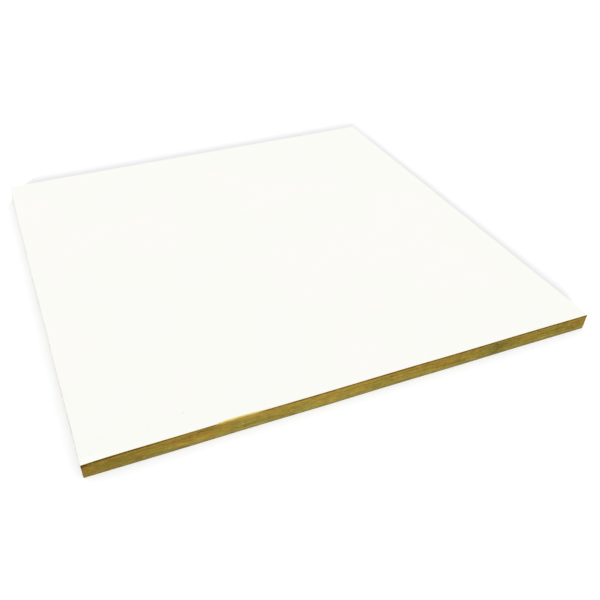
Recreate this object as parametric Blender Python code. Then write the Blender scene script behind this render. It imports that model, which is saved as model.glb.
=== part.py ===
"""Square-edge suspended ceiling tile for a 600 mm grid, lying face up.

A board of bonded mineral wool is faced with a painted glass-fibre tissue and backed with a plain one. The
three layers are sawn to size together, so the wool shows raw on all four edges. Metres, +Z up: X runs along
the front edge, Y towards the back, and the origin is at the middle of the underside.
"""

import math

import bmesh
import bpy
from mathutils import Vector

# The ceiling grid, and how much smaller than its module the tile is cut
GRID_MODULE = 0.600
GRID_PLAY = 0.005

# The three layers, and the glue line between two of them
BACK_TISSUE_THICKNESS = 0.0004
CORE_THICKNESS = 0.0185
FACE_TISSUE_THICKNESS = 0.0005
GLUE_LINE = 0.0003

# The saw's line, which all the layers share: the distance between its points, and its long shallow wander
CUT_STEP = 0.0066
CUT_WANDER = 0.0003
CUT_WANDER_LENGTH = 0.171

# The wool is felted in flat layers, and the saw leaves each one bulging between two grooves
LAMINA_THICKNESS = 0.0031
LAMINA_GROOVE = 0.0003
LAMINA_RAGGEDNESS = 0.0004
LAMINA_RAGGED_LENGTH = 0.062

# Where a tuft of the wool has been pressed in on the front edge
DENT_PLACE = 0.1715
DENT_REACH = 0.0060
DENT_DEPTH = 0.0006

# The chip where the painted tissue has broken away from the front edge: its deepest place, and how far it
# runs out to the left and to the right of that
CHIP_PLACE = -0.150
CHIP_DEPTH = 0.0011
CHIP_TO_LEFT = 0.014
CHIP_TO_RIGHT = 0.043

TILE_SIDE = GRID_MODULE - GRID_PLAY
CORE_BOTTOM = BACK_TISSUE_THICKNESS + GLUE_LINE
CORE_TOP = CORE_BOTTOM + CORE_THICKNESS
FACE_BOTTOM = CORE_TOP + GLUE_LINE
FACE_TOP = FACE_BOTTOM + FACE_TISSUE_THICKNESS

# The four edges, front first: the way each one faces, and the way it is followed round the tile
EDGES = (
    (Vector((0, -1, 0)), Vector((1, 0, 0))),
    (Vector((1, 0, 0)), Vector((0, 1, 0))),
    (Vector((0, 1, 0)), Vector((-1, 0, 0))),
    (Vector((-1, 0, 0)), Vector((0, -1, 0))),
)
FRONT = 0

# Where on its wave a cut starts, in radians. The layers' turn grows by its square, so that the bulges of
# one layer don't step along beside the next
TURN_PER_EDGE = 1.7
TURN_PER_LAMINA = 2.4

# Each finish is a colour, as linear red, green and blue, with a roughness
RAW_WOOL = ((0.32, 0.22, 0.040), 0.95)
WHITE_PAINT = ((0.93, 0.94, 0.90), 0.85)
BARE_TISSUE = ((0.72, 0.69, 0.56), 0.90)


def clear_scene():
    for thing in list(bpy.data.objects):
        bpy.data.objects.remove(thing, do_unlink=True)


def wave(place, length, turn):
    """A rise and fall between 0 and 1 along a cut."""
    return 0.5 + 0.5 * math.sin(math.tau * place / length + turn)


def wander(edge, place):
    """How far behind the straight line the saw ran."""
    return CUT_WANDER * wave(place, CUT_WANDER_LENGTH, TURN_PER_EDGE * edge)


def dent(edge, place):
    """How much deeper the wool lies where it has been pressed in."""
    if edge != FRONT:
        return 0.0
    return DENT_DEPTH * math.exp(-(((place - DENT_PLACE) / DENT_REACH) ** 2))


def wool_relief(lamina):
    """The depth of one layer of wool behind the straight line, as a function of edge and place."""
    def depth(edge, place):
        turn = TURN_PER_LAMINA * lamina**2 + TURN_PER_EDGE * edge
        ragged = LAMINA_RAGGEDNESS * wave(place, LAMINA_RAGGED_LENGTH, turn)
        return wander(edge, place) + ragged + dent(edge, place)
    return depth


def groove(lamina):
    """The same for the groove under that layer."""
    relief = wool_relief(lamina)
    return lambda edge, place: relief(edge, place) + LAMINA_GROOVE


def chipped(edge, place):
    """The depth of the painted tissue's edge, broken back along the chip."""
    reach = CHIP_TO_LEFT if place < CHIP_PLACE else CHIP_TO_RIGHT
    off_centre = abs(place - CHIP_PLACE) / reach
    if edge != FRONT or off_centre > 1:
        return wander(edge, place)
    return wander(edge, place) + CHIP_DEPTH * math.cos(math.pi / 2 * off_centre)


def set_in(vert, depth):
    """Moves a point of the outline from where it is to its depth behind the straight edge."""
    edge = max(range(len(EDGES)), key=lambda i: vert.co.dot(EDGES[i][0]))
    outward, along = EDGES[edge]
    place = vert.co.dot(along)
    to_corner = TILE_SIDE / 2 - abs(place)
    kept_square = min(1.0, to_corner / CUT_STEP)
    line = TILE_SIDE / 2 - depth(edge, place) * kept_square
    vert.co += outward * (line - vert.co.dot(outward))


def square_outline(bm):
    """The tile's square as a loop of edges with a point every step of the cut."""
    bmesh.ops.create_grid(bm, x_segments=1, y_segments=1, size=TILE_SIDE / 2)
    bmesh.ops.delete(bm, geom=bm.faces[:], context="FACES_ONLY")
    steps = max(1, round(TILE_SIDE / CUT_STEP))
    bmesh.ops.subdivide_edges(bm, edges=bm.edges[:], cuts=steps - 1)
    return bm.edges[:]


def close(bm, loop):
    """Fills a flat loop, as triangles that meet in its middle."""
    lid = bmesh.ops.contextual_create(bm, geom=loop)["faces"]
    bmesh.ops.poke(bm, faces=lid)


def layer(name, rings, finish):
    """One layer of the tile, drawn up through its rings: each is a height and a depth behind the edge."""
    bm = bmesh.new()
    loop = square_outline(bm)
    bottom = loop
    for i, (height, depth) in enumerate(rings):
        if i > 0:
            drawn = bmesh.ops.extrude_edge_only(bm, edges=loop)["geom"]
            loop = [part for part in drawn if isinstance(part, bmesh.types.BMEdge)]
        for vert in {vert for edge in loop for vert in edge.verts}:
            vert.co.z = height
            set_in(vert, depth)
    close(bm, bottom)
    close(bm, loop)
    bmesh.ops.recalc_face_normals(bm, faces=bm.faces)
    mesh = bpy.data.meshes.new(name)
    bm.to_mesh(mesh)
    bm.free()
    piece = bpy.data.objects.new(name, mesh)
    piece.data.materials.append(material(name, finish))
    bpy.context.scene.collection.objects.link(piece)
    return piece


def material(name, finish):
    colour, roughness = finish
    made = bpy.data.materials.new(name)
    made.use_nodes = True
    shader = made.node_tree.nodes["Principled BSDF"]
    shader.inputs["Base Color"].default_value = (*colour, 1.0)
    shader.inputs["Roughness"].default_value = roughness
    shader.inputs["Metallic"].default_value = 0.0
    return made


def back_tissue():
    """The plain tissue under the board, flush with the cut."""
    return layer("back_tissue", [(0.0, wander), (BACK_TISSUE_THICKNESS, wander)], BARE_TISSUE)


def mineral_wool_core():
    """The board of felted wool, whose layers bulge and hang back unevenly on the sawn edges."""
    count = max(2, round(CORE_THICKNESS / LAMINA_THICKNESS))
    pitch = CORE_THICKNESS / count
    rings = []
    for i in range(count):
        base = CORE_BOTTOM + i * pitch
        rings += [(base, groove(i)), (base + pitch / 2, wool_relief(i))]
    rings.append((CORE_TOP, groove(count)))
    return layer("mineral_wool_core", rings, RAW_WOOL)


def face_tissue():
    """The painted tissue over the board, flush with the cut apart from its chip."""
    return layer("face_tissue", [(FACE_BOTTOM, chipped), (FACE_TOP, chipped)], WHITE_PAINT)


def main():
    clear_scene()
    tile = bpy.data.objects.new("ceiling_tile", None)
    bpy.context.scene.collection.objects.link(tile)
    for piece in (back_tissue(), mineral_wool_core(), face_tissue()):
        piece.parent = tile


main()
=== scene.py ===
import math
import random

import bmesh
import bpy
from mathutils import Matrix, Vector, noise


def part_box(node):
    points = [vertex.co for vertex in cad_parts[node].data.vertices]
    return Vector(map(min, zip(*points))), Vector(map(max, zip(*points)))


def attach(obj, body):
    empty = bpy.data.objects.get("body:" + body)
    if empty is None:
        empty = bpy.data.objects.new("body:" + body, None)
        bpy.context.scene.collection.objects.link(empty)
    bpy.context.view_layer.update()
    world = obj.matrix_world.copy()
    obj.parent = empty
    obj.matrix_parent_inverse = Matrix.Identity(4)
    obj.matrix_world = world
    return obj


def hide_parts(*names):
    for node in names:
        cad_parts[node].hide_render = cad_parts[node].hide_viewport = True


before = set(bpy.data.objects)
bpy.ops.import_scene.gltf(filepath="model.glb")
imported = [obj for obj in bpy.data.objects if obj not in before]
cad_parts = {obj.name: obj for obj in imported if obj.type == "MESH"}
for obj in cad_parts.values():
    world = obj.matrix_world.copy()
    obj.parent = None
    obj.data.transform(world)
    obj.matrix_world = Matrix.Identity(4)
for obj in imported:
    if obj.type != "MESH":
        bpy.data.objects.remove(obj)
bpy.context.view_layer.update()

# The wool board. Resin-bonded mineral wool, felted in flat layers and pressed hard, then sawn square together
# with its facings. The saw wanders a little and tears the softer layers back, so the golden fibre shows raw.
core_low, core_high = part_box("mineral_wool_core")
HALF_SIDE = core_high.x
CUT_STEP = 0.001
LAYER_STEP = 0.0007
WOOL_MARGINS = (0.0006, 0.0014, 0.0030, 0.0060)

# The saw's line, as the solids have it: each edge as the way it faces and the way it is followed round
EDGES = (
    (Vector((0, -1, 0)), Vector((1, 0, 0))),
    (Vector((1, 0, 0)), Vector((0, 1, 0))),
    (Vector((0, 1, 0)), Vector((-1, 0, 0))),
    (Vector((-1, 0, 0)), Vector((0, -1, 0))),
)
FRONT = 0
LEFT = 3
CUT_WANDER = 0.0003
CUT_WANDER_LENGTH = 0.171
TURN_PER_EDGE = 1.7


def wander(edge, place):
    """How far behind the straight line the saw ran."""
    turn = math.tau * place / CUT_WANDER_LENGTH + TURN_PER_EDGE * edge
    return CUT_WANDER * (0.5 + 0.5 * math.sin(turn))


# Each edge, and each length of streak, reads the noise so far away from the next
NOISE_PER_EDGE = 7.3
NOISE_PER_LENGTH = 40


def streak(edge, place, height, length, thickness):
    """A noise of about -1 to 1 whose marks lie along the cut, so long and so thick."""
    apart = NOISE_PER_EDGE * edge + NOISE_PER_LENGTH * length
    return 2 * noise.noise(Vector((place / length, height / thickness, apart)))


def ragged(edge, place, length):
    """The same noise where it changes along the cut only."""
    return streak(edge, place, 0.0, length, 1.0)


# How deep the saw tore: broad layers, fine fibre bundles, and pits where a tuft came out. Each kind has the
# length and the thickness of its streaks
LAYER_TEAR = 0.00028
LAYER_STREAK = (0.070, 0.0031)
BUNDLE_TEAR = 0.00014
BUNDLE_STREAK = (0.015, 0.0012)
PIT_DEPTH = 0.00070
PIT_STREAK = (0.008, 0.0026)
PIT_FROM = 0.35
DEEPEST = 0.0015
CORNER_CRUMBLE = 0.00025

# Under the painted tissue the wool is torn back further than elsewhere, and painted shade darkens it in a
# line there, under the tissue's overhang. The line comes and goes along the edge
UNDER_TISSUE_TEAR = 0.00055
UNDER_TISSUE_FULL = 0.0011
UNDER_TISSUE_REACH = 0.0024
UNDER_TISSUE_STRENGTH = 0.90
UNDER_TISSUE_SWING = 0.8
UNDER_TISSUE_SWING_LENGTH = 0.075

# Towards the left end of the front edge the line of painted shade is broader, and the upper arris is knocked
# down
LEFT_END_REACH = 0.022
LEFT_END_BROADER = 1.3
KNOCK_DEPTH = 0.0016
KNOCK_REACH = 0.0060

# The place on the front edge where a tuft was pressed in. It shows as a dark upright mark, which fades
# towards the top and trails off to the right
DENT_PLACE = 0.1715
DENT_REACH = 0.0060
DENT_DEPTH = 0.0006
DENT_FADE = 0.65
DENT_TRAIL = 0.009
TRAIL_STRENGTH = 0.45

# The chip where the painted tissue has broken away from the front edge. The wool is bare where the chip is as
# deep as this share of its deepest place
CHIP_PLACE = -0.150
CHIP_DEPTH = 0.0011
CHIP_TO_LEFT = 0.014
CHIP_TO_RIGHT = 0.043
BARE_FROM = 0.5


def chip(edge, place):
    """1 at the deepest place of the chip, falling to 0 at its ends and everywhere else."""
    reach = CHIP_TO_LEFT if place < CHIP_PLACE else CHIP_TO_RIGHT
    off_centre = abs(place - CHIP_PLACE) / reach
    return math.cos(math.pi / 2 * off_centre) if edge == FRONT and off_centre < 1 else 0.0


def laid_bare(edge, place):
    """1 where the tissue is gone from the wool, falling to 0 at the chip's ends and everywhere else."""
    return min(1.0, chip(edge, place) / BARE_FROM)


def dent(edge, place):
    """1 where the tuft was pressed in, and 0 away from it."""
    return math.exp(-(((place - DENT_PLACE) / DENT_REACH) ** 2)) if edge == FRONT else 0.0


def left_end(edge, place):
    """1 at the left end of the front edge, fading along it, and 0 on the other edges."""
    return math.exp(-(place + HALF_SIDE) / LEFT_END_REACH) if edge == FRONT else 0.0


def held(value):
    """The value, held between 0 and 1."""
    return max(0.0, min(1.0, value))


def up_the_wool(height):
    """0 at the bottom of the wool and 1 at its top."""
    return held((height - core_low.z) / (core_high.z - core_low.z))


def knocked_down(spot):
    """How far a point has sunk where the arris is knocked down."""
    arris = max(0.0, 1 - (spot.y + HALF_SIDE) / KNOCK_REACH) ** 2
    return KNOCK_DEPTH * left_end(FRONT, spot.x) * arris * up_the_wool(spot.z) ** 2


def under_tissue_tear_and_shade(edge, place, height):
    """How strong the line under the painted tissue is, where the wool is torn back and painted shade darkens
    it.
    """
    broader = 1 + LEFT_END_BROADER * left_end(edge, place)
    strength = UNDER_TISSUE_STRENGTH * broader + UNDER_TISSUE_SWING * ragged(edge, place, UNDER_TISSUE_SWING_LENGTH)
    line = 1 - ((core_high.z - height) / broader - UNDER_TISSUE_FULL) / (UNDER_TISSUE_REACH - UNDER_TISSUE_FULL)
    return held(strength) * held(line) * (1 - laid_bare(edge, place))


def wool_depth(edge, place, height):
    """How far behind the straight line one spot of the sawn wool lies."""
    layers = LAYER_TEAR * (0.5 + streak(edge, place, height, *LAYER_STREAK))
    bundles = BUNDLE_TEAR * streak(edge, place, height, *BUNDLE_STREAK)
    pits = PIT_DEPTH * max(0.0, streak(edge, place, height, *PIT_STREAK) - PIT_FROM)
    marks = UNDER_TISSUE_TEAR * under_tissue_tear_and_shade(edge, place, height) + DENT_DEPTH * dent(edge, place)
    return max(0.0, min(DEEPEST, wander(edge, place) + layers + bundles + pits + marks))


def painted_shade_under_tissue(edge, place, height, inside):
    """The painted shade under the tissue on the cut, fading inwards over the top."""
    return under_tissue_tear_and_shade(edge, place, height) * max(0.0, 1 - inside / UNDER_TISSUE_REACH)


def bare_ledge_remains_and_highlight(edge, place, height, inside):
    """1 on top of the wool where the painted tissue is gone, and less just below: the tissue's pale remains,
    with a painted highlight on the wool's top.
    """
    return laid_bare(edge, place) * math.exp((height - core_high.z) / LAYER_STEP)


def dented(edge, place, height, inside):
    """The dark mark of the pressed-in tuft, with its trail."""
    trail = TRAIL_STRENGTH * dent(edge, place - DENT_TRAIL)
    return max(trail, dent(edge, place) * (1 - DENT_FADE * up_the_wool(height)))


def draw_on(bm, loop):
    """Extrudes a loop of edges, and gives the new loop and its points, which still lie on the old one's."""
    drawn = bmesh.ops.extrude_edge_only(bm, edges=loop)["geom"]
    new_loop = [part for part in drawn if isinstance(part, bmesh.types.BMEdge)]
    return new_loop, [part for part in drawn if isinstance(part, bmesh.types.BMVert)]


def raise_sides(bm, heights):
    """Four upright sides with a point every step of the cut. Gives their lowest and their highest loop."""
    bmesh.ops.create_grid(bm, x_segments=1, y_segments=1, size=HALF_SIDE)
    bmesh.ops.delete(bm, geom=bm.faces[:], context="FACES_ONLY")
    bmesh.ops.translate(bm, verts=bm.verts[:], vec=(0, 0, heights[0]))
    bmesh.ops.subdivide_edges(bm, edges=bm.edges[:], cuts=round(2 * HALF_SIDE / CUT_STEP) - 1)
    bottom = loop = bm.edges[:]
    for low, high in zip(heights, heights[1:]):
        loop, points = draw_on(bm, loop)
        bmesh.ops.translate(bm, verts=points, vec=(0, 0, high - low))
    return bottom, loop


def close_with_margins(bm, loop, margins):
    """Closes a square loop with a lid that has lines so far inside its rim."""
    before = HALF_SIDE
    for margin in margins:
        loop, points = draw_on(bm, loop)
        shrink = (HALF_SIDE - margin) / before
        bmesh.ops.scale(bm, verts=points, vec=(shrink, shrink, 1))
        before = HALF_SIDE - margin
    lid = bmesh.ops.contextual_create(bm, geom=loop)["faces"]
    bmesh.ops.poke(bm, faces=lid)


def map_the_cut(bm, sides):
    """Lays the map "cut": the distance round the tile and the height on its sides, x and y on its lids."""
    cut = bm.loops.layers.uv.new("cut")
    for face in bm.faces:
        middle = face.calc_center_median()
        edge = max(range(len(EDGES)), key=lambda i: middle.dot(EDGES[i][0]))
        for corner in face.loops:
            at = corner.vert.co
            place = at.dot(EDGES[edge][1])
            corner[cut].uv = ((2 * edge + 1) * HALF_SIDE + place, at.z) if face in sides else at.xy


def set_back(bm, depth, reach, marks):
    """Moves the points back from the straight cut, less and less over the reach, and lays on the marks."""
    layers = {bm.verts.layers.float.new(mark): strength for mark, strength in marks.items()}
    for vert in bm.verts:
        straight = vert.co.copy()
        for edge, (outward, along) in enumerate(EDGES):
            inside = HALF_SIDE - straight.dot(outward)
            if inside < reach:
                place = straight.dot(along)
                to_corner = HALF_SIDE - abs(place)
                moved = min(depth(edge, place, straight.z), CORNER_CRUMBLE + to_corner / 2)
                vert.co -= outward * moved * (1 - inside / reach)
                for layer, strength in layers.items():
                    vert[layer] = max(vert[layer], strength(edge, place, straight.z, inside))
        vert.co.z -= knocked_down(straight)


def as_piece(bm, name):
    """The finished bmesh as a piece at the origin."""
    mesh = bpy.data.meshes.new(name)
    bm.to_mesh(mesh)
    bm.free()
    piece = bpy.data.objects.new(name, mesh)
    bpy.context.scene.collection.objects.link(piece)
    return piece


def sawn_slab(name, heights, depth, margins, marks):
    """A closed square slab that is sawn round, each spot of the cut set back by depth(edge, place, height).

    The margins are lines on the lids, each so far inside the cut. Each mark is a named attribute near the
    cut, worked out from the same three and the distance inside it.
    """
    bm = bmesh.new()
    bottom, top = raise_sides(bm, heights)
    sides = set(bm.faces)
    close_with_margins(bm, bottom, margins)
    close_with_margins(bm, top, margins)
    bmesh.ops.recalc_face_normals(bm, faces=bm.faces)
    map_the_cut(bm, sides)
    set_back(bm, depth, max(margins), marks)
    return as_piece(bm, name)


def steps_between(low, high, step):
    """Even steps from low to high, as near to the given one as will go."""
    count = max(1, round((high - low) / step))
    return [low + (high - low) * i / count for i in range(count + 1)]


wool_board = sawn_slab(
    "wool_board",
    steps_between(core_low.z, core_high.z, LAYER_STEP),
    wool_depth,
    margins=WOOL_MARGINS,
    marks={"under_tissue_shade": painted_shade_under_tissue, "torn": bare_ledge_remains_and_highlight, "dent": dented},
)


def add(tree, kind, wires=None, **settings):
    """Puts a node in a tree with its settings, and fills or wires its inputs, named or numbered."""
    made = tree.nodes.new(kind)
    for setting, value in settings.items():
        setattr(made, setting, value)
    for socket, value in (wires or {}).items():
        if isinstance(value, bpy.types.NodeSocket):
            tree.links.new(value, made.inputs[socket])
        else:
            made.inputs[socket].default_value = value
    return made


def maths(tree, operation, a, b=0.0, c=0.0):
    """What a Math node makes of up to three values."""
    return add(tree, "ShaderNodeMath", {0: a, 1: b, 2: c}, operation=operation).outputs[0]


def off_level(tree, value, level):
    """How far a value is from a level, above it or below."""
    return maths(tree, "ABSOLUTE", maths(tree, "SUBTRACT", value, level))


def stretched(tree, place, times):
    """A place with its three measures multiplied, which makes the noise there so much finer."""
    return add(tree, "ShaderNodeVectorMath", {0: place, 1: times}, operation="MULTIPLY").outputs[0]


def noise_at(tree, place, scale, detail=2.0, roughness=0.5):
    """A soft noise of about 0.2 to 0.8."""
    wires = {"Vector": place, "Scale": scale, "Detail": detail, "Roughness": roughness}
    return add(tree, "ShaderNodeTexNoise", wires, noise_dimensions="3D").outputs[0]


def spread(tree, value, low, high, to_low=0.0, to_high=1.0):
    """The value from low to high brought to a new range, and held at its ends."""
    wires = {"Value": value, "From Min": low, "From Max": high, "To Min": to_low, "To Max": to_high}
    return add(tree, "ShaderNodeMapRange", wires, clamp=True).outputs[0]


def blend_colours(tree, share, a, b, how="MIX"):
    """Colour a with a share of colour b."""
    wires = {0: share, 6: a, 7: b}
    return add(tree, "ShaderNodeMix", wires, data_type="RGBA", blend_type=how).outputs[2]


def tinted(tree, under, value, low, high, share, tint):
    """A colour with none of the tint where the value is low, up to a share of it where it is high."""
    return blend_colours(tree, spread(tree, value, low, high, 0.0, share), under, tint)


def mark_on(tree, name):
    """The strength of a mark that was laid on the mesh."""
    return add(tree, "ShaderNodeAttribute", attribute_name=name).outputs["Fac"]


def effect(name, inputs, outputs):
    """An empty node group with float inputs, apart from its first, a vector, and float outputs."""
    group = bpy.data.node_groups.new(name, "ShaderNodeTree")
    for i, socket in enumerate(inputs):
        kind = "NodeSocketVector" if i == 0 else "NodeSocketFloat"
        group.interface.new_socket(socket, in_out="INPUT", socket_type=kind)
    for socket in outputs:
        group.interface.new_socket(socket, in_out="OUTPUT", socket_type="NodeSocketFloat")
    return group, group.nodes.new("NodeGroupInput").outputs, group.nodes.new("NodeGroupOutput").inputs


# Felted fibre: long flat streaks that waver a little, with finer bundles and fuzz on them, and broad patches
WAVER_SCALE = 26.0
WAVER_HEIGHT = 0.0016
BUNDLES_FINER = (6.0, 1.6, 1.0)
FUZZ_FINER = (22.0, 7.0, 1.0)
PATCH_SCALE = 14.0

felted_fibre, felt_in, felt_out = effect(
    "Felted fibre", ("Place", "Length", "Thickness"), ("Streaks", "Bundles", "Fuzz", "Patches", "Height")
)
waver = noise_at(felted_fibre, felt_in["Place"], WAVER_SCALE, detail=1.0)
lengthways, upwards, deeper = add(felted_fibre, "ShaderNodeSeparateXYZ", {0: felt_in["Place"]}).outputs
upwards = maths(felted_fibre, "MULTIPLY_ADD", waver, WAVER_HEIGHT, upwards)
upwards = maths(felted_fibre, "DIVIDE", upwards, felt_in["Thickness"])
lengthways = maths(felted_fibre, "DIVIDE", lengthways, felt_in["Length"])
felt_place = add(felted_fibre, "ShaderNodeCombineXYZ", {0: lengthways, 1: upwards, 2: deeper}).outputs[0]
bundle_place = stretched(felted_fibre, felt_place, BUNDLES_FINER)
fuzz_place = stretched(felted_fibre, felt_place, FUZZ_FINER)
bundles = noise_at(felted_fibre, bundle_place, 1.0, detail=4.0, roughness=0.7)
fuzz = noise_at(felted_fibre, fuzz_place, 1.0, detail=3.0, roughness=0.7)
felt_values = {
    "Streaks": noise_at(felted_fibre, felt_place, 1.0, detail=3.0, roughness=0.6),
    "Bundles": bundles,
    "Fuzz": fuzz,
    "Patches": noise_at(felted_fibre, felt_in["Place"], PATCH_SCALE, detail=2.0),
    "Height": maths(felted_fibre, "MULTIPLY_ADD", bundles, 0.5, maths(felted_fibre, "MULTIPLY", fuzz, 0.5)),
}
for socket, value in felt_values.items():
    felted_fibre.links.new(value, felt_out[socket])


def new_material(name):
    """A material with its tree and its Principled shader."""
    made = bpy.data.materials.new(name)
    made.use_nodes = True
    return made, made.node_tree, made.node_tree.nodes["Principled BSDF"]


def wire_finish(tree, shader, colour, roughness, specular):
    """Gives the shader a colour and a roughness that vary, and an even strength of shine."""
    tree.links.new(colour, shader.inputs["Base Color"])
    tree.links.new(roughness, shader.inputs["Roughness"])
    shader.inputs["Specular IOR Level"].default_value = specular


def wire_bump(tree, shader, height, strength, distance):
    """Gives the shader a fine relief, as high as the distance."""
    wires = {"Height": height, "Strength": strength, "Distance": distance}
    tree.links.new(add(tree, "ShaderNodeBump", wires).outputs[0], shader.inputs["Normal"])


# The wool's own colours: rusty where the resin is thick, olive and straw where it is thin
WOOL_UMBER = (0.095, 0.050, 0.008, 1)
WOOL_BROWN = (0.260, 0.122, 0.010, 1)
WOOL_RUST = (0.445, 0.210, 0.016, 1)
WOOL_OLIVE = (0.290, 0.240, 0.030, 1)
WOOL_STRAW = (0.570, 0.448, 0.084, 1)
WOOL_DULL = (0.220, 0.175, 0.022, 1)
WOOL_GREY = (0.270, 0.245, 0.130, 1)
# Painted shade for the dark line under the painted tissue's overhang
PAINTED_SHADE_BROWN = (0.068, 0.030, 0.005, 1)
# Pale straw of torn tissue fibres; on the bare top of the wool it is partly a painted highlight
TORN_STRAW = (0.870, 0.710, 0.160, 1)
STREAK_LENGTH = 0.075
STREAK_THICKNESS = 0.0021

# Its tints, laid one on another: what each follows, where it begins and is full, its share there, its colour.
# "Upper" is 0 at the bottom of the wool and 1 at its top, and the others are the felted fibre's
WOOL_TINTS = (
    ("Streaks", 0.50, 0.70, 0.92, WOOL_STRAW),
    ("Bundles", 0.52, 0.76, 0.70, WOOL_STRAW),
    ("Streaks", 0.47, 0.30, 0.84, WOOL_UMBER),
    ("Bundles", 0.48, 0.26, 0.70, WOOL_UMBER),
    ("Fuzz", 0.50, 0.72, 0.70, WOOL_STRAW),
    ("Fuzz", 0.48, 0.28, 0.65, WOOL_UMBER),
    ("Upper", 0.35, 1.00, 0.20, WOOL_BROWN),
    ("Upper", 0.42, 0.54, 0.065, WOOL_UMBER),
    ("Upper", 0.45, 0.00, 0.16, WOOL_STRAW),
    ("Upper", 0.22, 0.00, 0.50, WOOL_GREY),
)

# Along the front edge the wool is palest at one place, and well away from that its upper part is duller. The
# left end is brown, and the pressed-in tuft is dark
PALE_PLACE = -0.055
PALE_REACH = 0.19
PALE_SHARE = 0.30
DULL_FROM = 0.10
DULL_TO = 0.22
DULL_SHARE = 0.55
DARK_END_REACH = 0.085
DARK_END_SHARE = 0.60
DENT_SHARE = 0.65

# Just under the line of painted shade the wool is paler and rustier, in a layer so far below its top
PALE_LAYER = 0.0027
PALE_LAYER_HALF = 0.0012
PALE_LAYER_SHARE = 0.40
PALE_RUST = (0.590, 0.410, 0.086, 1)


def wool_colour(tree, felt, upper):
    """Rust in patches, and more of it towards the top, over olive, with all the tints laid on."""
    rustier = spread(tree, upper, low=0.55, high=1.0, to_high=0.32)
    greener = spread(tree, upper, low=0.22, high=0.0, to_high=-0.30)
    rusty = maths(tree, "ADD", greener, maths(tree, "ADD", rustier, felt["Patches"]))
    colour = blend_colours(tree, spread(tree, rusty, low=0.41, high=0.59), WOOL_OLIVE, WOOL_RUST)
    for follows, begins, full, share, tint in WOOL_TINTS:
        value = upper if follows == "Upper" else felt[follows]
        colour = tinted(tree, colour, value, begins, full, share, tint)
    return colour


raw_wool, tree, shader = new_material("raw_wool")
cut_place = add(tree, "ShaderNodeUVMap", uv_map="cut").outputs[0]
felt_wires = {"Place": cut_place, "Length": STREAK_LENGTH, "Thickness": STREAK_THICKNESS}
felt = add(tree, "ShaderNodeGroup", felt_wires, node_tree=felted_fibre).outputs
round_tile, height = add(tree, "ShaderNodeSeparateXYZ", {0: cut_place}).outputs[:2]
upper = spread(tree, height, core_low.z, core_high.z)
colour = wool_colour(tree, felt, upper)
from_pale = off_level(tree, round_tile, HALF_SIDE + PALE_PLACE)
colour = tinted(tree, colour, from_pale, PALE_REACH, 0.0, PALE_SHARE, WOOL_STRAW)
dull = maths(tree, "MULTIPLY", spread(tree, from_pale, DULL_FROM, DULL_TO), upper)
colour = blend_colours(tree, maths(tree, "MULTIPLY", dull, DULL_SHARE), colour, WOOL_DULL)
from_layer = off_level(tree, height, core_high.z - PALE_LAYER)
colour = tinted(tree, colour, from_layer, PALE_LAYER_HALF, 0.0, PALE_LAYER_SHARE, PALE_RUST)
colour = tinted(tree, colour, round_tile, DARK_END_REACH, 0.0, DARK_END_SHARE, WOOL_BROWN)
dark = maths(tree, "MULTIPLY", mark_on(tree, "dent"), DENT_SHARE)
colour = blend_colours(tree, dark, colour, WOOL_UMBER)
# Painted shade: the dark line under the painted tissue's overhang, where the wool is torn back
colour = blend_colours(tree, mark_on(tree, "under_tissue_shade"), colour, PAINTED_SHADE_BROWN)
# Pale straw where the tissue is gone from the wool: its remains, and a painted highlight on the wool's top as
# it faces the light
colour = blend_colours(tree, mark_on(tree, "torn"), colour, TORN_STRAW)
roughness = spread(tree, felt["Bundles"], low=0.3, high=0.7, to_low=0.98, to_high=0.86)
wire_finish(tree, shader, colour, roughness, specular=0.15)
wire_bump(tree, shader, felt["Height"], strength=0.7, distance=0.0004)
wool_board.data.materials.append(raw_wool)
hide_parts("mineral_wool_core")
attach(wool_board, "root")

# The loose fibres. The saw leaves bundles of mineral fibre combed along the cut, held at both ends and bowed
# out between. They are as thin as hair, and none stands more than 0.2 mm past the straight line of the cut.
FIBRE_PIECES = ("loose_fibres_front", "loose_fibres_right", "loose_fibres_back", "loose_fibres_left")
FIBRES_PER_EDGE = 2600
FIBRE_THICKNESS = 0.00010
FIBRE_LENGTHS = (0.004, 0.019)
FIBRE_BOW = 0.00022
FIBRE_CURL = 0.0004
FIBRE_PROUD = 0.0002
FIBRE_TILT = math.radians(6)
FIBRE_POINTS = 6
FIBRE_SCALE = 160.0
STRAND_TIP = 0.45
chance = random.Random(7)


def strand_curve(name, thickness):
    """An empty curve whose strands are square in section."""
    curve = bpy.data.curves.new(name, "CURVE")
    curve.dimensions = "3D"
    curve.bevel_depth = thickness / 2
    curve.bevel_resolution = 0
    curve.use_fill_caps = True
    strands = bpy.data.objects.new(name, curve)
    bpy.context.scene.collection.objects.link(strands)
    return strands


def lay_strand(strands, points):
    """One strand through the points, thinner towards its ends."""
    spline = strands.data.splines.new("POLY")
    spline.points.add(len(points) - 1)
    for i, (point, co) in enumerate(zip(spline.points, points)):
        swell = math.sin(math.pi * (i + 0.5) / len(points))
        point.co = (*co, 1)
        point.radius = STRAND_TIP + (1 - STRAND_TIP) * swell


def off_the_cut(edge, place, height, bow, swell):
    """A point that stands off the sawn wool by the bow where it swells, and is held in it elsewhere."""
    outward, along = EDGES[edge]
    out = HALF_SIDE - wool_depth(edge, place, height) + bow * swell - FIBRE_THICKNESS * (1 - swell)
    spot = outward * min(out, HALF_SIDE + FIBRE_PROUD) + along * place + Vector((0, 0, height))
    return spot - Vector((0, 0, knocked_down(spot)))


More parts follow.
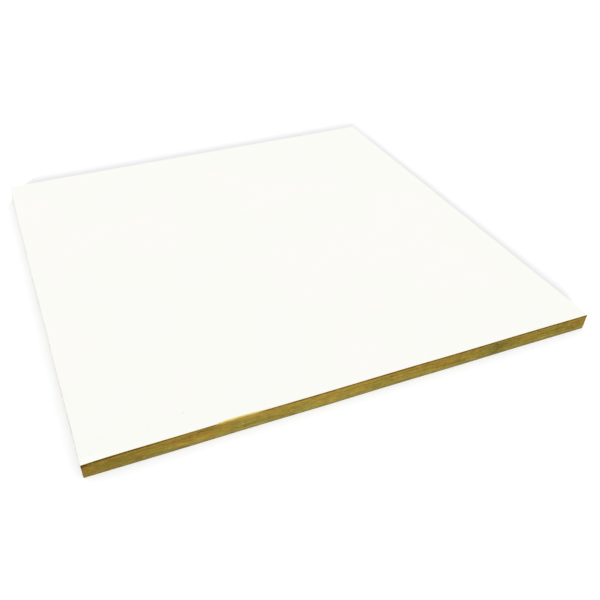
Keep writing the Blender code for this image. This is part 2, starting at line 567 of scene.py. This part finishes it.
def combed_fibre(edge):
    """The points of one fibre that lies along the cut and bows out of it."""
    length = chance.uniform(*FIBRE_LENGTHS)
    middle = chance.uniform(-1, 1) * (HALF_SIDE - CUT_STEP)
    length = min(length, 2 * (HALF_SIDE - abs(middle)))
    tilt = chance.gauss(0, FIBRE_TILT)
    rise = length / 2 * abs(math.sin(tilt))
    lowest = core_low.z + rise + FIBRE_THICKNESS
    highest = core_high.z - rise - FIBRE_THICKNESS
    height = chance.uniform(lowest, max(lowest, highest))
    bow = abs(chance.gauss(0, FIBRE_BOW))
    curl = chance.gauss(0, FIBRE_CURL)
    points = []
    for i in range(FIBRE_POINTS):
        share = i / (FIBRE_POINTS - 1)
        swell = math.sin(math.pi * share)
        place = middle + (share - 0.5) * length * math.cos(tilt)
        up = height + (share - 0.5) * length * math.sin(tilt) + curl * swell
        up = max(core_low.z, min(core_high.z, up))
        points.append(off_the_cut(edge, place, up, bow, swell))
    return points


fibre_finish, tree, shader = new_material("loose_fibre")
at = add(tree, "ShaderNodeTexCoord").outputs["Object"]
cloud = noise_at(tree, at, FIBRE_SCALE, detail=2.0)
colour = blend_colours(tree, spread(tree, cloud, low=0.35, high=0.65), WOOL_OLIVE, WOOL_STRAW)
roughness = spread(tree, cloud, low=0.3, high=0.7, to_low=0.75, to_high=0.6)
wire_finish(tree, shader, colour, roughness, specular=0.35)

for edge, name in enumerate(FIBRE_PIECES):
    loose_fibres = strand_curve(name, FIBRE_THICKNESS)
    for i in range(FIBRES_PER_EDGE):
        lay_strand(loose_fibres, combed_fibre(edge))
    loose_fibres.data.materials.append(fibre_finish)
    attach(loose_fibres, "root")

# The painted face. A tissue of glass fibres glued over the board and sprayed with a thick white paint, which
# rounds its upper arris and leaves a faint grain. It is sawn with the board, and chipped on the front edge.
face_low, face_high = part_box("face_tissue")
ARRIS = 0.00012
FRAYED_WIDTH = 0.0007
STAINED_WIDTH = 0.0018
FACE_MARGIN = 0.0070
EDGE_RAGGEDNESS = 0.00006
EDGE_RAGGED_LENGTH = 0.0021
CHIP_RAGGEDNESS = 0.00028
CHIP_RAGGED_LENGTH = 0.0033
CHIP_RAGGED_RISE = 3

# The saw leaves the tissue golden on the cut, up to so far below the top. On the left edge the paint covers
# more of it
UNPAINTED_BELOW = ARRIS / 2
UNPAINTED_BELOW_LEFT = 1.5 * ARRIS


def face_depth(edge, place, height):
    """How far behind the straight line the painted tissue ends."""
    frayed = EDGE_RAGGEDNESS * ragged(edge, place, EDGE_RAGGED_LENGTH)
    torn = CHIP_RAGGEDNESS * min(1.0, CHIP_RAGGED_RISE * chip(edge, place))
    broken = CHIP_DEPTH * chip(edge, place) + torn * ragged(edge, place, CHIP_RAGGED_LENGTH)
    eased = ARRIS if height > face_high.z - ARRIS / 2 else 0.0
    return max(0.0, wander(edge, place) + frayed + broken) + eased


def sawn_tissue(edge, place, height, inside):
    """1 on the cut below the paint."""
    below = UNPAINTED_BELOW_LEFT if edge == LEFT else UNPAINTED_BELOW
    return 1.0 if height < face_high.z - below else 0.0


def torn_rim(edge, place, height, inside):
    """1 along the broken rim of the paint, falling to 0 where it is whole again."""
    return laid_bare(edge, place) * max(0.0, 1 - inside / STAINED_WIDTH) ** 2


painted_face = sawn_slab(
    "painted_face",
    [face_low.z, (face_low.z + face_high.z) / 2, face_high.z - ARRIS, face_high.z],
    face_depth,
    margins=(FRAYED_WIDTH, STAINED_WIDTH, FACE_MARGIN),
    marks={"torn": torn_rim, "sawn": sawn_tissue},
)

# Strewn fibres: fine straight threads lying every way, as in a glass tissue
THREAD_LENGTH = 0.022
THREAD_WIDTH = 0.0008
THREAD_TURNS = (12, 55, 97, 148)
THREAD_EDGE = 0.05

strewn_fibres, strewn_in, strewn_out = effect("Strewn fibres", ("Place", "Density"), ("Threads", "Height"))
threads = 0.0
for i, turn in enumerate(THREAD_TURNS):
    thread_place = {
        "Vector": strewn_in["Place"],
        "Location": (0, 0, i),
        "Rotation": (0, 0, math.radians(turn)),
        "Scale": (THREAD_LENGTH, THREAD_WIDTH, THREAD_LENGTH),
    }
    turned = add(strewn_fibres, "ShaderNodeMapping", thread_place, vector_type="TEXTURE").outputs[0]
    ridge = off_level(strewn_fibres, noise_at(strewn_fibres, turned, 1.0, detail=1.0), 0.5)
    thread = spread(strewn_fibres, ridge, low=THREAD_EDGE, high=0.0)
    threads = maths(strewn_fibres, "MAXIMUM", thread, threads)
shown = maths(strewn_fibres, "MULTIPLY", threads, strewn_in["Density"])
strewn_fibres.links.new(shown, strewn_out["Threads"])
strewn_fibres.links.new(threads, strewn_out["Height"])

# The paint is the near-white of the photo, a touch warmer in some places than in others. Its grain shades it
# a little, and one dark speck lies near the chip
PAINT_COOL = (0.949, 0.958, 0.911, 1)
PAINT_WARM = (0.965, 0.952, 0.917, 1)
TORN_PAINT = (0.960, 0.870, 0.500, 1)
TISSUE_EDGE = (0.800, 0.600, 0.150, 1)
MOTTLE_SCALE = 7.0
GRAIN_SCALE = 1700.0
GRAIN_SHADE = 0.985
TISSUE_IN_RELIEF = 0.6
SPECK_PLACE = (-0.1885, -0.270, face_high.z)
SPECK_SIZE = 0.0016
SPECK_COLOUR = (0.62, 0.62, 0.58, 1)
SPECK_SHARE = 0.35

white_paint, tree, shader = new_material("white_paint")
at = add(tree, "ShaderNodeTexCoord").outputs["Object"]
mottle = noise_at(tree, at, MOTTLE_SCALE, detail=3.0)
grain = noise_at(tree, at, GRAIN_SCALE, detail=2.0, roughness=0.6)
tissue = add(tree, "ShaderNodeGroup", {"Place": at, "Density": 1.0}, node_tree=strewn_fibres).outputs
colour = blend_colours(tree, spread(tree, mottle, low=0.35, high=0.65), PAINT_COOL, PAINT_WARM)
shade = spread(tree, grain, low=0.25, high=0.75, to_low=GRAIN_SHADE)
shade = add(tree, "ShaderNodeCombineColor", {0: shade, 1: shade, 2: shade}).outputs[0]
colour = blend_colours(tree, 1.0, colour, shade, "MULTIPLY")
away = add(tree, "ShaderNodeVectorMath", {0: at, 1: SPECK_PLACE}, operation="DISTANCE").outputs["Value"]
colour = tinted(tree, colour, away, SPECK_SIZE, SPECK_SIZE / 3, SPECK_SHARE, SPECK_COLOUR)
colour = blend_colours(tree, mark_on(tree, "sawn"), colour, TISSUE_EDGE)
torn = mark_on(tree, "torn")
colour = tinted(tree, colour, torn, 0.0, 0.6, 0.9, TORN_PAINT)
patchy = spread(tree, grain, low=0.3, high=0.6, to_low=0.6)
frayed = maths(tree, "MULTIPLY", spread(tree, torn, low=0.5, high=1.0), patchy)
colour = blend_colours(tree, frayed, colour, TORN_STRAW)
roughness = spread(tree, grain, low=0.3, high=0.7, to_low=0.92, to_high=0.8)
wire_finish(tree, shader, colour, roughness, specular=0.25)
texture = maths(tree, "MULTIPLY_ADD", tissue["Height"], TISSUE_IN_RELIEF, grain)
wire_bump(tree, shader, texture, strength=0.5, distance=0.00010)
painted_face.data.materials.append(white_paint)
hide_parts("face_tissue")
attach(painted_face, "root")

# The fray at the chip: short pale ends of the tissue's glass fibre, left standing out of the broken edge of
# the paint and lying down over the wool.
FRAY_COUNT = 320
FRAY_THICKNESS = 0.00009
FRAY_LENGTHS = (0.0006, 0.0022)
FRAY_HEADING = 1.1
FRAY_POINTS = 4
FRAYED_PART = 0.8
FRAY_DROOP = 0.7
FRAY_SCALE = 900.0


def frayed_end():
    """The points of one fibre end, from inside the broken edge down to the wool."""
    outward, along = EDGES[FRONT]
    place = CHIP_PLACE + chance.uniform(-FRAYED_PART * CHIP_TO_LEFT, FRAYED_PART * CHIP_TO_RIGHT)
    length = chance.uniform(*FRAY_LENGTHS)
    heading = chance.uniform(-FRAY_HEADING, FRAY_HEADING)
    root = HALF_SIDE - face_depth(FRONT, place, face_low.z) - FRAY_THICKNESS
    start = chance.uniform(face_low.z, face_high.z - ARRIS)
    points = []
    for i in range(FRAY_POINTS):
        share = i / (FRAY_POINTS - 1)
        out = min(HALF_SIDE, root + share * length * math.cos(heading))
        sideways = place + share * length * math.sin(heading)
        up = start + (core_high.z + FRAY_THICKNESS - start) * share**FRAY_DROOP
        points.append(outward * out + along * sideways + Vector((0, 0, up)))
    return points


chip_fray = strand_curve("chip_fray", FRAY_THICKNESS)
for i in range(FRAY_COUNT):
    lay_strand(chip_fray, frayed_end())

fray_finish, tree, shader = new_material("frayed_tissue")
at = add(tree, "ShaderNodeTexCoord").outputs["Object"]
cloud = noise_at(tree, at, FRAY_SCALE, detail=1.0)
colour = blend_colours(tree, spread(tree, cloud, low=0.45, high=0.75), TORN_STRAW, PAINT_WARM)
roughness = spread(tree, cloud, low=0.3, high=0.7, to_low=0.7, to_high=0.55)
wire_finish(tree, shader, colour, roughness, specular=0.3)
chip_fray.data.materials.append(fray_finish)
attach(chip_fray, "root")

# The back tissue. A thin veil of glass fibres glued under the board and left unpainted, so that its threads
# and the gold of the wool behind them show. It keeps the board from bowing towards its painted side.
back_low, back_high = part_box("back_tissue")
BACK_RAGGED_LENGTH = 0.0027
VEIL_RIM = 0.0007
VEIL_FADE = 0.0014
VEIL_LIGHT = (0.800, 0.770, 0.640, 1)
VEIL_GOLD = (0.560, 0.470, 0.230, 1)
VEIL_EDGE = (0.340, 0.250, 0.045, 1)
VEIL_DENSITY = 0.8
VEIL_SCALE = 30.0


def back_depth(edge, place, height):
    """How far behind the straight line the back tissue ends."""
    return max(0.0, wander(edge, place) + EDGE_RAGGEDNESS * ragged(edge, place, BACK_RAGGED_LENGTH))


def sawn_rim(edge, place, height, inside):
    """1 on the cut and the rim beside it, and 0 from where that has faded."""
    return 1.0 if inside < (VEIL_RIM + VEIL_FADE) / 2 else 0.0


plain_back = sawn_slab(
    "plain_back",
    [back_low.z, back_high.z],
    back_depth,
    margins=(VEIL_RIM, VEIL_FADE),
    marks={"sawn": sawn_rim},
)

bare_tissue, tree, shader = new_material("bare_tissue")
at = add(tree, "ShaderNodeTexCoord").outputs["Object"]
veil = add(tree, "ShaderNodeGroup", {"Place": at, "Density": VEIL_DENSITY}, node_tree=strewn_fibres).outputs
cloudy = noise_at(tree, at, VEIL_SCALE, detail=4.0)
gold = spread(tree, cloudy, low=0.3, high=0.7, to_low=0.15, to_high=0.55)
colour = blend_colours(tree, gold, VEIL_LIGHT, VEIL_GOLD)
colour = blend_colours(tree, veil["Threads"], colour, VEIL_LIGHT)
colour = blend_colours(tree, mark_on(tree, "sawn"), colour, VEIL_EDGE)
roughness = spread(tree, cloudy, low=0.3, high=0.7, to_low=0.9, to_high=0.75)
wire_finish(tree, shader, colour, roughness, specular=0.3)
wire_bump(tree, shader, veil["Height"], strength=0.6, distance=0.00008)
plain_back.data.materials.append(bare_tissue)
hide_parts("back_tissue")
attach(plain_back, "root")

# The floor: plain, pale and far wider than the tile. What the camera sees of it is white where nothing shades
# it, and greys a little in the tile's soft shadow. It throws back less light on the tile than such a white
# would, so that the foot of the sawn edge keeps its depth of colour.
FLOOR_HALF = 6.0
FLOOR_GAP = 0.0002
FLOOR_COLOUR = (0.622, 0.611, 0.595, 1)
SEEN_COLOUR = (0.83, 0.83, 0.83, 1)


def seen_or_not(tree, seen, unseen):
    """One shader for what the camera sees, also by way of gloss or glass, and one for light that bounces."""
    path = add(tree, "ShaderNodeLightPath").outputs
    by_eye = maths(tree, "MAXIMUM", path["Is Camera Ray"], path["Is Glossy Ray"])
    by_eye = maths(tree, "MAXIMUM", by_eye, path["Is Transmission Ray"])
    return add(tree, "ShaderNodeMixShader", {0: by_eye, 1: unseen, 2: seen}).outputs[0]


bm = bmesh.new()
bmesh.ops.create_grid(bm, x_segments=1, y_segments=1, size=FLOOR_HALF)
bmesh.ops.translate(bm, verts=bm.verts[:], vec=(0, 0, -FLOOR_GAP))
floor = as_piece(bm, "floor")

floor_finish = bpy.data.materials.new("floor")
floor_finish.use_nodes = True
tree = floor_finish.node_tree
tree.nodes.clear()
plain = add(tree, "ShaderNodeBsdfDiffuse", {"Color": FLOOR_COLOUR}).outputs[0]
white = add(tree, "ShaderNodeBsdfDiffuse", {"Color": SEEN_COLOUR}).outputs[0]
add(tree, "ShaderNodeOutputMaterial", {"Surface": seen_or_not(tree, white, plain)})
floor.data.materials.append(floor_finish)

# The light: an even pale sky, and one broad soft lamp high on the left in front of the tile. A low lamp
# beside the camera lights the floor alone, so that the tile's soft shadow shows past its two far edges.
SKY_LEVEL = 0.75
BACKDROP_LEVEL = 1.0
WHITE = (1, 1, 1, 1)
HIGH_LEVEL = 1.00
HIGH_WIDTH = math.radians(50)
HIGH_FROM = Vector((-0.25, -0.55, 1.0))
LOW_LEVEL = 4.19
LOW_COLOUR = (0.83, 0.895, 1.0)
LOW_WIDTH = math.radians(11)
LOW_FROM = Vector((-0.47, -0.88, 0.274))

world = bpy.data.worlds.new("studio")
bpy.context.scene.world = world
world.use_nodes = True
tree = world.node_tree
tree.nodes.clear()
sky = add(tree, "ShaderNodeBackground", {"Color": WHITE, "Strength": SKY_LEVEL}).outputs[0]
backdrop = add(tree, "ShaderNodeBackground", {"Color": WHITE, "Strength": BACKDROP_LEVEL}).outputs[0]
add(tree, "ShaderNodeOutputWorld", {"Surface": seen_or_not(tree, backdrop, sky)})


def soft_lamp(name, level, width, place):
    """An even light from the side of a place, the softer the wider the lamp looks from the tile."""
    lamp_data = bpy.data.lights.new(name, "SUN")
    lamp_data.energy = level
    lamp_data.angle = width
    lamp = bpy.data.objects.new(name, lamp_data)
    lamp.rotation_euler = place.to_track_quat("Z", "Y").to_euler()
    bpy.context.scene.collection.objects.link(lamp)
    return lamp


soft_lamp("high_lamp", HIGH_LEVEL, HIGH_WIDTH, HIGH_FROM)
low_lamp = soft_lamp("low_lamp", LOW_LEVEL, LOW_WIDTH, LOW_FROM)
low_lamp.data.color = LOW_COLOUR
lit_by_low_lamp = bpy.data.collections.new("lit_by_low_lamp")
lit_by_low_lamp.objects.link(floor)
low_lamp.light_linking.receiver_collection = lit_by_low_lamp

# The camera stands where the photo's stood, above the front edge and to the left of the middle. The photo
# was cut from a wider one, so the frame is shifted from the camera's axis.
CAMERA_PLACE = Vector((-0.2815, -0.7296, 0.4991))
CAMERA_TURN_RIGHT = math.radians(21.70)
CAMERA_TILT_DOWN = math.radians(42.48)
CAMERA_ROLL = math.radians(-0.50)
PHOTO_WIDTH = 600
FOCAL_LENGTH_PX = 661.5
AXIS_PX = (266.5, 370.5)

camera_data = bpy.data.cameras.new("camera")
camera_data.lens = camera_data.sensor_width * FOCAL_LENGTH_PX / PHOTO_WIDTH
camera_data.shift_x = 0.5 - AXIS_PX[0] / PHOTO_WIDTH
camera_data.shift_y = AXIS_PX[1] / PHOTO_WIDTH - 0.5
camera = bpy.data.objects.new("camera", camera_data)
camera.matrix_world = (
    Matrix.Translation(CAMERA_PLACE)
    @ Matrix.Rotation(-CAMERA_TURN_RIGHT, 4, "Z")
    @ Matrix.Rotation(math.pi / 2 - CAMERA_TILT_DOWN, 4, "X")
    @ Matrix.Rotation(CAMERA_ROLL, 4, "Z")
)
bpy.context.scene.collection.objects.link(camera)
bpy.context.scene.camera = camera
bpy.context.scene.view_settings.view_transform = "Standard"
